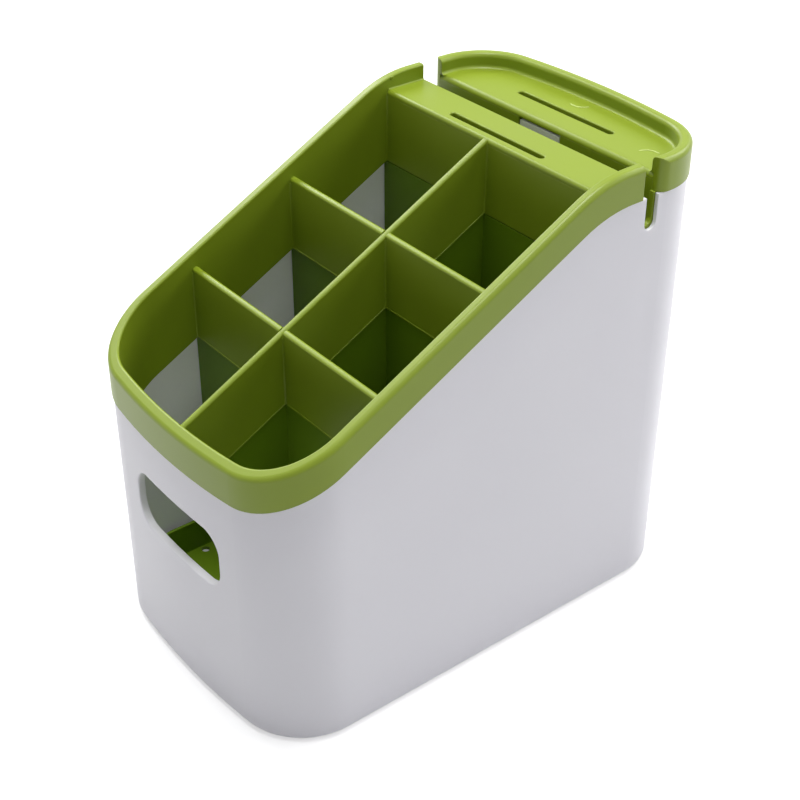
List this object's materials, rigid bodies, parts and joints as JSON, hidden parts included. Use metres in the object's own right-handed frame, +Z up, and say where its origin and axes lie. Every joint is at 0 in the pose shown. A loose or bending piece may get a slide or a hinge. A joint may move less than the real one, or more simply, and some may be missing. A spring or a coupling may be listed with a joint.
{
  "type": "chopstick and cutlery holder",
  "caption": "White bucket with a sloping top and hand holes; a green lift-off organiser has compartments, knife slots and a through slot for a board, above a lift-out tray",
  "frame": {"origin": "on the floor, under the middle of the holder", "axes": "X across the holder, Y from the low front to the high rear, Z up"},
  "size_m": [0.1314, 0.2118, 0.1967],
  "materials": {
    "white_plastic": "satin",
    "green_plastic": "satin",
    "tray_plastic": "satin"
  },
  "bodies": {
    "shell": {"outer_shell": "white_plastic", "knife_bay_partition": "white_plastic", "locating_tongue": "white_plastic"},
    "organiser": {"organiser_rim": "green_plastic", "long_divider": "green_plastic", "cross_dividers": "green_plastic", "front_knife_deck": "green_plastic", "rear_knife_deck": "green_plastic", "front_deck_wall": "green_plastic", "slot_front_wall": "green_plastic", "slot_rear_walls": "green_plastic"},
    "tray": {"drip_tray": "tray_plastic", "tray_long_divider": "tray_plastic", "tray_cross_dividers": "tray_plastic"}
  },
  "joints": [
    {"name": "organiser_lift", "type": "slide", "parent": "shell", "child": "organiser", "axis": [0, 0, 1], "range_m": [0, 0.3]},
    {"name": "tray_lift", "type": "slide", "parent": "shell", "child": "tray", "axis": [0, 0, 1], "range_m": [0, 0.2]}
  ],
  "couplings": [
    {"joint": "tray_lift", "follows": "organiser_lift", "ratio": 0.66}
  ]
}
